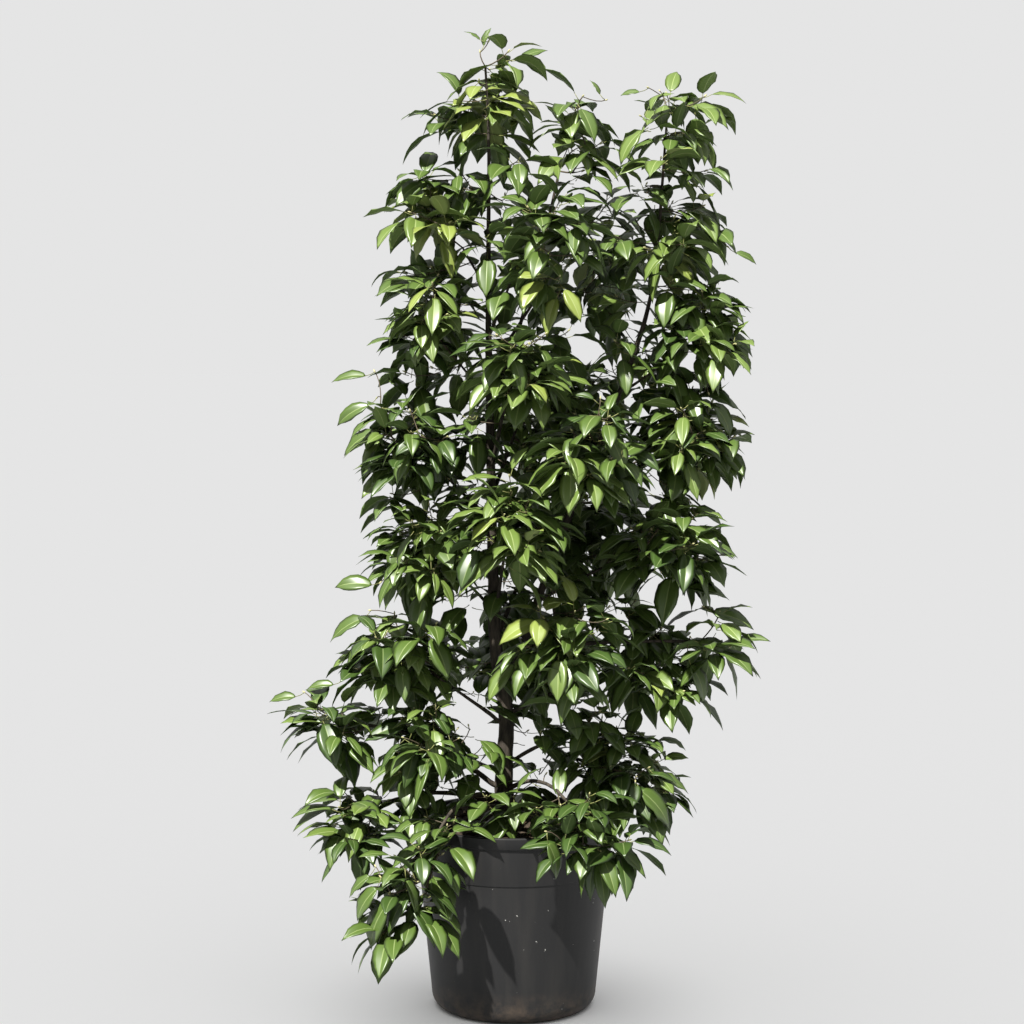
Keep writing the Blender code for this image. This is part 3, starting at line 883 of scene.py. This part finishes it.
    def add_twig(self, open_nodes: list[int], far: list[float], best: int, hub: Hub) -> None:
        """Adds a twig from one open node to a hub, and opens its points for later twigs."""
        root = open_nodes[best]
        start = self.nodes[root]
        gap = float(np.linalg.norm(hub.place - start))
        lead = hub.place - hub.along * gap * 0.38
        sway = self.rng.normal(0.0, 0.06, 3) * gap
        count = max(3, int(gap / self.step) + 1)
        chain = [root]
        path = far[best]
        for k in range(1, count + 1):
            t = k / count
            spot = start * (1 - t) ** 2 + (lead + sway) * 2 * t * (1 - t) + hub.place * t * t
            self.nodes.append(spot)
            self.parents.append(chain[-1])
            chain.append(len(self.nodes) - 1)
            path += gap / count
            if k < count - 1:
                open_nodes.append(chain[-1])
                far.append(path)
        self.twigs.append(chain)
        self.grown.append(hub)

    def build_twigs(self) -> None:
        """Makes the twigs, thicker where more leaves hang on them."""
        load = np.zeros(len(self.nodes))
        for chain in self.twigs:
            load[chain[-1]] += 1.0
        for k in range(len(self.nodes) - 1, -1, -1):
            if self.parents[k] >= 0 and self.parents[k] < k:
                load[self.parents[k]] += load[k]
        radii = self.twig_tip_radius * np.maximum(load, 1.0) ** (1.0 / self.twig_power)
        woody, green = MeshBin(), MeshBin()
        for chain in self.twigs:
            line = np.array([self.nodes[k] for k in chain])
            around = radii[chain]
            around[0] = around[1]
            points, faces = tube(line, np.minimum(around, self.thickest_twig), 6)
            woody.add(points, faces)
            tip = line[-1]
            ahead = unit(line[-1] - line[-2])
            bud = tip + ahead[None, :] * np.linspace(-0.002, 0.007, 4)[:, None]
            points, faces = tube(bud, np.array((0.0010, 0.0020, 0.0017, 0.0003)), 5)
            green.add(points, faces)
        twig_finish = plain_material("twig_bark", (0.085, 0.068, 0.045), 0.7, 0.3)
        self.dress(woody.piece("twigs", [twig_finish]))
        bud_finish = plain_material("bud_scales", (0.42, 0.40, 0.20), 0.5, 0.4)
        self.dress(green.piece("buds", [bud_finish]))
        LOG.info("%d twigs", len(self.twigs))

    def dress(self, piece: bpy.types.Object) -> None:
        """Lets a piece of the crown ride on the root, in place of the masses of foliage."""
        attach(piece, "root")
        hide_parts(*self.masses)

    def leaf_rows(self) -> dict[Tone, list[dict[str, np.ndarray]]]:
        """Works out every leaf's place, direction and form, by tone."""
        rows: dict[Tone, list[dict[str, np.ndarray]]] = {tone: [] for tone in Tone}
        for hub, chain in zip(self.grown, self.twigs):
            self.add_side_leaves(rows, hub, chain)
            self.add_cluster(rows, hub)
        for leaf in OUTER_LEAVES:
            self.add_outer_leaf(rows[Tone.MIDDLE], leaf)
        return rows

    def add_cluster(self, rows: dict[Tone, list], hub: Hub) -> None:
        """Adds the leaves that radiate from a twig's end, the youngest at the bud."""
        rng = self.rng
        axis = unit(hub.along + UP * 0.35)
        side = unit(np.cross(axis, (0.37, -0.61, 0.70)))
        other = np.cross(axis, side)
        spin = rng.uniform(0.0, 2.0 * math.pi)
        for k in range(hub.leaves):
            share = k / max(1, hub.leaves - 1)
            angle = spin + GOLDEN_TURN * k + rng.normal(0.0, 0.15)
            around = side * math.cos(angle) + other * math.sin(angle)
            open_angle = math.radians(44.0 + 42.0 * share + rng.normal(0.0, 10.0))
            out = unit(axis * math.cos(open_angle) + around * math.sin(open_angle))
            out[2] = out[2] * 0.42 + 0.20 - 0.26 * share
            if rng.random() < self.hanging_share:
                out[2] -= rng.uniform(0.30, 0.95)
            out = unit(out)
            foot = hub.place - axis * (0.004 + 0.040 * share)
            base = foot + out * rng.uniform(*self.stalk_reach) + UP * 0.002
            level = unit(np.cross(out, UP) + 1e-6)
            face = unit(np.cross(level, out))
            if face[2] < 0.0:
                face = -face
            face = unit(face + around * 0.25 + rng.normal(0.0, 0.16, 3))
            face = unit(face - out * float(face @ out))
            size = hub.size * (0.72 + 0.30 * min(1.0, share * 1.6)) * rng.uniform(0.90, 1.08)
            length = self.leaf_length * size
            tip = base + out * length * 0.85 - UP * length * 0.4
            if not self.inside_box(tip):
                continue
            newest = hub.tone is Tone.BRIGHT and k == 0 and rng.random() < self.young_share
            tone = Tone.YOUNG if newest else hub.tone
            self.add_leaf(rows[tone], foot, base, out, face, size)

    def add_side_leaves(self, rows: dict[Tone, list], hub: Hub, chain: list[int]) -> None:
        """Adds alternate leaves along the outer part of a twig."""
        rng = self.rng
        side = 1.0
        for k in range(max(1, len(chain) // 3), len(chain) - 3):
            if rng.random() < 0.25:
                continue
            foot = self.nodes[chain[k]]
            ahead = unit(self.nodes[chain[k + 1]] - foot)
            across = unit(np.cross(ahead, UP) + rng.normal(0.0, 0.35, 3)) * side
            side = -side
            out = unit(across + ahead * 0.55)
            out[2] = out[2] * 0.4 + rng.uniform(-0.12, 0.16)
            out = unit(out)
            base = foot + out * rng.uniform(*self.stalk_reach)
            face = unit(UP + across * 0.3 + rng.normal(0.0, 0.2, 3))
            face = unit(face - out * float(face @ out))
            size = hub.size * rng.uniform(0.85, 1.08)
            if self.inside_box(base + out * self.leaf_length * size):
                self.add_leaf(rows[hub.tone], foot, base, out, face, size)

    def add_outer_leaf(self, rows: list[dict[str, np.ndarray]], leaf: OuterLeaf) -> None:
        """Adds one leaf between the two ends given for it, arched upwards."""
        base, tip = np.array(leaf.base), np.array(leaf.tip)
        chord = unit(tip - base)
        lift = unit(UP - chord * chord[2])
        half_bend = math.radians(0.5 * self.outer_bend_deg)
        out = unit(chord * math.cos(half_bend) + lift * math.sin(half_bend))
        face = unit(lift * 0.80 - np.array((0.0, 0.55, 0.0)))
        face = unit(face - out * float(face @ out))
        size = float(np.linalg.norm(tip - base)) * 1.03 / self.leaf_length
        self.add_leaf(rows, leaf.foot(), base, out, face, size, 2.0 * half_bend)

    def add_leaf(
        self,
        rows: list[dict[str, np.ndarray]],
        foot: np.ndarray,
        base: np.ndarray,
        out: np.ndarray,
        face: np.ndarray,
        size: float,
        bend: float | None = None,
    ) -> None:
        """Adds one leaf and its stalk.

        Args:
            rows: The leaves of its tone.
            foot: Where its stalk leaves the twig.
            base: Where its blade starts.
            out: The blade's direction at its base.
            face: The direction that its upper face looks.
            size: Its size against the mean.
            bend: How far it arches; drawn if not given.
        """
        rng = self.rng
        if bend is None:
            bend = math.radians(rng.uniform(*self.bend_deg)) * (1.0 + 0.65 * min(0.0, float(out[2])))
            length = self.leaf_length * size
            shares = ((0.2, 0.0), (0.55, 0.12), (0.8, 0.35))
            spots = [base + out * length * ahead - face * length * sunk for ahead, sunk in shares]
            if any(gap.holds(spot) for gap in SKY_GAPS for spot in spots):
                return
        rows.append(
            {
                "base": base,
                "along": out,
                "face": face,
                "length": self.leaf_length * size,
                "width": self.leaf_half_width * size * rng.uniform(0.88, 1.18),
                "bend": bend,
                "fold": math.radians(rng.uniform(5.0, 26.0)),
                "twist": math.radians(rng.normal(0.0, 16.0)),
                "wave": rng.uniform(0.03, 0.13),
                "phase": rng.uniform(0.0, 2.0 * math.pi),
            }
        )
        middle = 0.5 * (foot + base) - UP * 0.0012
        line = np.array([foot, middle, base + out * 0.002])
        self.stalks.add(*tube(line, np.array((0.0011, 0.0009, 0.0008)), 3))

    def inside_box(self, point: np.ndarray) -> bool:
        """Whether a leaf's tip stays in the model's box."""
        low, high, slack = *CAD_BOX, self.box_slack
        return point[2] > 0.02 and all(low[k] - slack < point[k] < high[k] + slack for k in range(3))

    def build_leaves(self) -> None:
        """Makes the leaves, joined by tone into pieces."""
        faces, slots, count = self.shape.grid_faces()
        total = 0
        for tone, rows in self.leaf_rows().items():
            materials = LEAF_FINISHES[tone].materials("leaf_" + tone.value)
            for start in range(0, len(rows), self.leaves_per_piece):
                part = rows[start : start + self.leaves_per_piece]
                arrays = {key: np.array([row[key] for row in part]) for key in part[0]}
                points = self.shape.points(arrays).reshape(-1, 3)
                all_faces = (faces[None] + np.arange(len(part))[:, None, None] * count).reshape(-1, 4)
                tidy = [tuple(f[:3]) if f[2] == f[3] else tuple(f) for f in all_faces.tolist()]
                name = f"leaves_{tone.value}_{start // self.leaves_per_piece + 1}"
                self.dress(add_mesh(name, points, tidy, materials, np.tile(slots, len(part))))
                total += len(part)
        stalk_finish = plain_material("leaf_stalk", (0.200, 0.210, 0.070), 0.5, 0.4)
        self.dress(self.stalks.piece("leaf_stalks", [stalk_finish]))
        LOG.info("%d leaves", total)


@dataclass(frozen=True)
class PotFinish:
    """Dusty satin black plastic with faint streaks."""

    colour: tuple[float, float, float] = (0.012, 0.012, 0.0125)
    dust: tuple[float, float, float] = (0.022, 0.021, 0.020)
    grime: tuple[float, float, float] = (0.085, 0.062, 0.044)
    grime_top: float = 0.075
    speck: tuple[float, float, float] = (0.45, 0.45, 0.42)
    roughness: float = 0.52
    specular: float = 0.38

    def material(self) -> bpy.types.Material:
        """The pot's procedural material."""
        material = plain_material("pot_plastic", self.colour, self.roughness, self.specular)
        links = material.node_tree.links
        place = stretched(material, 1.0)
        streaks = add_noise(material, stretched(material, 0.06), 38.0, 7.0)
        specks = add_noise(material, place, 95.0, 3.0)
        plastic = add_ramp(material, streaks, (0.42, self.colour), (0.85, self.dust))
        dots = add_ramp(material, specks, (0.745, (0.0, 0.0, 0.0)), (0.775, self.speck))
        speckled = self.mix(material, plastic, 1.0)
        speckled.blend_type = "ADD"
        links.new(dots, speckled.inputs["B"])
        parts = material.node_tree.nodes.new("ShaderNodeSeparateXYZ")
        links.new(place, parts.inputs["Vector"])
        low = self.fade(material, parts.outputs["Z"], self.grime_top, 0.004)
        edge = self.fade(material, parts.outputs["X"], 0.175, 0.235)
        patches = self.fade(material, add_noise(material, place, 26.0, 8.0, 0.7), 0.40, 0.66)
        either = self.combine(material, "MAXIMUM", low, edge)
        dirty = self.mix(material, speckled.outputs["Result"], 0.0)
        dirty.inputs["B"].default_value = (*self.grime, 1.0)
        links.new(self.combine(material, "MULTIPLY", either, patches), dirty.inputs["Factor"])
        links.new(dirty.outputs["Result"], material.node_tree.nodes["Principled BSDF"].inputs["Base Color"])
        return material

    def mix(
        self, material: bpy.types.Material, first: bpy.types.NodeSocket, factor: float
    ) -> bpy.types.Node:
        """A mix of colours with its first colour joined."""
        node = material.node_tree.nodes.new("ShaderNodeMix")
        node.data_type = "RGBA"
        node.inputs["Factor"].default_value = factor
        material.node_tree.links.new(first, node.inputs["A"])
        return node

    def combine(
        self,
        material: bpy.types.Material,
        how: str,
        first: bpy.types.NodeSocket,
        second: bpy.types.NodeSocket,
    ) -> bpy.types.NodeSocket:
        """Two values combined by a named operation."""
        node = material.node_tree.nodes.new("ShaderNodeMath")
        node.operation = how
        material.node_tree.links.new(first, node.inputs[0])
        material.node_tree.links.new(second, node.inputs[1])
        return node.outputs["Value"]

    def fade(
        self, material: bpy.types.Material, source: bpy.types.NodeSocket, start: float, end: float
    ) -> bpy.types.NodeSocket:
        """A value that rises from 0 to 1 while its source goes from start to end."""
        ramp = material.node_tree.nodes.new("ShaderNodeMapRange")
        ramp.inputs["From Min"].default_value = start
        ramp.inputs["From Max"].default_value = end
        material.node_tree.links.new(source, ramp.inputs["Value"])
        return ramp.outputs["Result"]


@dataclass
class Pot:
    """The round nursery pot, turned from its section, with drain slots."""

    height: float = 0.425
    wall: float = 0.0035
    floor: float = 0.004
    foot_wall_radius: float = 0.1815
    taper: float = 0.0985
    foot_radius: float = 0.161
    foot_height: float = 0.034
    band_foot: float = 0.315
    band_proud: float = 0.002
    lip_depth: float = 0.026
    lip_proud: float = 0.0045
    ease: float = 0.0015
    segments: int = 160
    slots: int = 5
    slot_width: float = 0.040
    slot_height: float = 0.022
    first_slot_deg: float = -110.0
    finish: PotFinish = field(default_factory=PotFinish)

    def wall_radius(self, height: float) -> float:
        """The plain wall's outer radius at a height."""
        return self.foot_wall_radius + self.taper * height

    def foot_curve(self, inset: float) -> list[tuple[float, float]]:
        """The rounded foot's section, moved inwards by inset."""
        span = self.wall_radius(self.foot_height) - self.foot_radius
        found = []
        for k in range(9):
            angle = 0.5 * math.pi * k / 8
            found.append(
                (
                    self.foot_radius + span * math.sin(angle) - inset,
                    inset + (self.foot_height - inset) * (1.0 - math.cos(angle)),
                )
            )
        return found

    def section(self) -> list[tuple[float, float]]:
        """The pot's section from the middle of its underside, up the outside, down the inside."""
        lip_foot = self.height - self.lip_depth
        band = self.band_proud
        lip = self.wall_radius(self.height) + band + self.lip_proud
        outside = [(0.0, 0.0)] + self.foot_curve(0.0)
        for share in (0.25, 0.5, 0.75):
            height = self.foot_height + (self.band_foot - self.foot_height) * share
            outside.append((self.wall_radius(height), height))
        outside += [
            (self.wall_radius(self.band_foot), self.band_foot),
            (self.wall_radius(self.band_foot) + band * 0.8, self.band_foot + band * 0.4),
            (self.wall_radius(self.band_foot) + band, self.band_foot + band),
            (self.wall_radius(lip_foot) + band, lip_foot - self.ease),
            (self.wall_radius(lip_foot) + band + self.lip_proud * 0.7, lip_foot),
            (self.wall_radius(lip_foot) + band + self.lip_proud, lip_foot + self.ease),
            (lip, self.height - self.ease),
            (lip - self.ease, self.height),
        ]
        inside = [(self.wall_radius(self.height) - self.wall, self.height)]
        inside += reversed(self.foot_curve(self.wall)[1:])
        inside += [(self.foot_radius - self.wall, self.floor), (0.0, self.floor)]
        return outside + inside

    def build(self) -> None:
        """Makes the pot and dresses it."""
        section = self.section()
        angles = np.arange(self.segments) * 2.0 * math.pi / self.segments
        rings = [
            np.stack([r * np.cos(angles), r * np.sin(angles), np.full(self.segments, z)], axis=1)
            for r, z in section[1:-1]
        ]
        points = np.concatenate([[(0.0, 0.0, section[0][1])], *rings, [(0.0, 0.0, section[-1][1])]])
        faces = []
        n, last = self.segments, len(points) - 1
        for k in range(n):
            after = (k + 1) % n
            faces.append((0, 1 + after, 1 + k))
            faces.append((last, last - n + k, last - n + after))
            for ring in range(len(rings) - 1):
                low, high = 1 + ring * n, 1 + (ring + 1) * n
                faces.append((low + k, low + after, high + after, high + k))
        pot = add_mesh("pot_shell", points, faces, [self.finish.material()])
        for k in range(self.slots):
            self.cut_slot(pot, math.radians(self.first_slot_deg + 360.0 * k / self.slots))
        graph = bpy.context.evaluated_depsgraph_get()
        mesh = bpy.data.meshes.new_from_object(pot.evaluated_get(graph))
        pot.modifiers.clear()
        pot.data = mesh
        mesh.set_sharp_from_angle(angle=math.radians(50.0))
        for cutter in [o for o in bpy.data.objects if o.name.startswith("slot_cutter")]:
            bpy.data.objects.remove(cutter, do_unlink=True)
        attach(pot, "root")
        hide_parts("pot")
        LOG.info("pot with %d slots", self.slots)

    def cut_slot(self, pot: bpy.types.Object, angle: float) -> None:
        """Adds the cut of one drain slot."""
        along = Vector((math.cos(angle), math.sin(angle), 0.0))
        across = Vector((-along.y, along.x, 0.0)) * (0.5 * self.slot_width)
        corners = []
        for height in (self.floor * 0.5, self.slot_height):
            for radius in (0.148, 0.210):
                for side in (-1.0, 1.0):
                    corners.append(along * radius + across * side + Vector((0.0, 0.0, height)))
        faces = [(0, 2, 3, 1), (4, 5, 7, 6), (0, 1, 5, 4), (2, 6, 7, 3), (0, 4, 6, 2), (1, 3, 7, 5)]
        cutter = add_mesh("slot_cutter", np.array(corners), faces, [], smooth=False)
        cutter.hide_render = True
        cut = pot.modifiers.new("slot", "BOOLEAN")
        cut.object = cutter
        cut.operation = "DIFFERENCE"
        cut.solver = "EXACT"


@dataclass
class Compost:
    """The compost's crumbly top, with bark chips on it."""

    radius: float = 0.2165
    rings: int = 60
    segments: int = 150
    lump: float = 0.004
    chips: int = 160
    seed: int = 5

    def build(self) -> None:
        """Makes the surface and the chips."""
        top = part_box("trunk")[0].z
        rng = np.random.default_rng(self.seed)
        points, faces = [np.array((0.0, 0.0, top))], []
        for ring in range(1, self.rings + 1):
            radius = self.radius * ring / self.rings
            for k in range(self.segments):
                angle = 2.0 * math.pi * k / self.segments
                spot = Vector((radius * math.cos(angle), radius * math.sin(angle), 0.0))
                rise = noise.fractal(spot * 70.0, 1.0, 2.0, 4) * self.lump
                points.append(np.array((spot.x, spot.y, top - 0.001 + rise)))
        for k in range(self.segments):
            after = (k + 1) % self.segments
            faces.append((0, 1 + k, 1 + after))
            for ring in range(self.rings - 1):
                low, high = 1 + ring * self.segments, 1 + (ring + 1) * self.segments
                faces.append((low + k, high + k, high + after, low + after))
        rim = len(points) - self.segments
        base = len(points)
        for k in range(self.segments):
            points.append(points[rim + k] * np.array((0.96, 0.96, 1.0)) - UP * 0.03)
        for k in range(self.segments):
            after = (k + 1) % self.segments
            faces.append((rim + k, base + k, base + after, rim + after))
        faces.append(tuple(base + k for k in reversed(range(self.segments))))
        soil = BarkFinish((0.018, 0.014, 0.010), (0.085, 0.062, 0.042), grain=160.0, roughness=0.95)
        piece = add_mesh("compost_top", np.array(points), faces, [soil.material("compost_crumb")])
        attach(piece, "root")
        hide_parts("compost")
        chips = MeshBin()
        for _ in range(self.chips):
            angle, radius = rng.uniform(0.0, 2.0 * math.pi), self.radius * 0.95 * math.sqrt(rng.random())
            centre = np.array((radius * math.cos(angle), radius * math.sin(angle), top + 0.003))
            size = rng.uniform(0.004, 0.013)
            line = centre + np.array((math.cos(angle * 7), math.sin(angle * 7), 0.1))[None] * (
                np.linspace(-1.0, 1.0, 4)[:, None] * size
            )
            shape, sides = tube(line, np.array((0.3, 1.0, 0.8, 0.2)) * size * 0.35, 5)
            chips.add(shape, sides, int(rng.random() < 0.15))
        piece = chips.piece(
            "bark_chips",
            [
                plain_material("chip_dark", (0.040, 0.028, 0.018), 0.9, 0.2),
                plain_material("chip_pale", (0.260, 0.180, 0.110), 0.85, 0.2),
            ],
            smooth=False,
        )
        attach(piece, "root")
        LOG.info("compost with %d chips", self.chips)


@dataclass
class Studio:
    """Pale floor, light and camera."""

    backdrop: float = 0.783
    sky: float = 0.40
    sun: float = 10.3
    floor_wash: float = 1.45
    floor_shadow_deg: float = 70.0
    sun_height_deg: float = 55.0
    sun_side_deg: float = -28.0
    camera_place: tuple[float, float, float] = EYE
    camera_pitch: float = 0.0848
    focal_px: float = 2261.9
    frame_px: int = 1024
    sensor: float = 36.0

    def build(self) -> None:
        """Makes the floor, the world, the key light and the camera."""
        scene = bpy.context.scene
        pieces = bpy.data.collections.new("plant_and_pot")
        scene.collection.children.link(pieces)
        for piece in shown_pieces():
            pieces.objects.link(piece)
        angles = np.arange(96) * 2.0 * math.pi / 96
        disc = np.stack([np.cos(angles) * 60.0, np.sin(angles) * 60.0, np.full(96, -0.0005)], axis=1)
        pale = plain_material("floor_pale", (0.91, 0.91, 0.91), 1.0, 0.0)
        floor = add_mesh("floor", disc, [tuple(range(96))], [pale], smooth=False)
        floor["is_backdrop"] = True
        self.build_world(scene)
        light = bpy.data.lights.new("key", "SUN")
        light.energy = self.sun
        light.angle = math.radians(1.2)
        light.color = (1.0, 0.975, 0.93)
        key = bpy.data.objects.new("key", light)
        scene.collection.objects.link(key)
        height, turn = math.radians(self.sun_height_deg), math.radians(self.sun_side_deg)
        level = math.cos(height)
        source = Vector((math.sin(turn) * level, -math.cos(turn) * level, math.sin(height)))
        key.rotation_mode = "QUATERNION"
        key.rotation_quaternion = source.to_track_quat("Z", "Y")
        key.light_linking.receiver_collection = pieces
        wash_light = bpy.data.lights.new("floor_wash", "SUN")
        wash_light.energy = self.floor_wash
        wash_light.angle = math.radians(self.floor_shadow_deg)
        wash = bpy.data.objects.new("floor_wash", wash_light)
        scene.collection.objects.link(wash)
        ground = bpy.data.collections.new("ground")
        scene.collection.children.link(ground)
        ground.objects.link(floor)
        wash.light_linking.receiver_collection = ground
        foot = bpy.data.collections.new("pot_alone")
        scene.collection.children.link(foot)
        foot.objects.link(bpy.data.objects["pot_shell"])
        wash.light_linking.blocker_collection = foot
        camera = bpy.data.objects.new("camera", bpy.data.cameras.new("camera"))
        scene.collection.objects.link(camera)
        camera.location = self.camera_place
        camera.rotation_euler = (0.5 * math.pi - self.camera_pitch, 0.0, 0.0)
        camera.data.sensor_width = self.sensor
        camera.data.lens = self.focal_px / self.frame_px * self.sensor
        camera.data.clip_end = 200.0
        scene.camera = camera
        scene.view_settings.view_transform = "Standard"
        LOG.info("studio")

    def build_world(self, scene: bpy.types.Scene) -> None:
        """A pale even sky: one grey to look at, another for the light it gives."""
        world = bpy.data.worlds.new("studio")
        scene.world = world
        world.use_nodes = True
        nodes, links = world.node_tree.nodes, world.node_tree.links
        seen = nodes["Background"]
        seen.inputs["Color"].default_value = (self.backdrop, self.backdrop, self.backdrop, 1.0)
        given = nodes.new("ShaderNodeBackground")
        given.inputs["Color"].default_value = (1.0, 1.0, 1.0, 1.0)
        given.inputs["Strength"].default_value = self.sky
        path = nodes.new("ShaderNodeLightPath")
        mix = nodes.new("ShaderNodeMixShader")
        links.new(path.outputs["Is Camera Ray"], mix.inputs["Fac"])
        links.new(given.outputs["Background"], mix.inputs[1])
        links.new(seen.outputs["Background"], mix.inputs[2])
        links.new(mix.outputs["Shader"], nodes["World Output"].inputs["Surface"])


def main() -> None:
    """Builds the plant, the pot and the studio in order."""
    logging.basicConfig(level=logging.INFO)
    wood = Wood()
    wood.read()
    wood.build()
    crown = Crown()
    crown.choose_hubs()
    crown.choose_spurs(wood)
    crown.grow(wood)
    crown.build_twigs()
    crown.build_leaves()
    Pot().build()
    Compost().build()
    Studio().build()


if __name__ == "__main__":
    main()
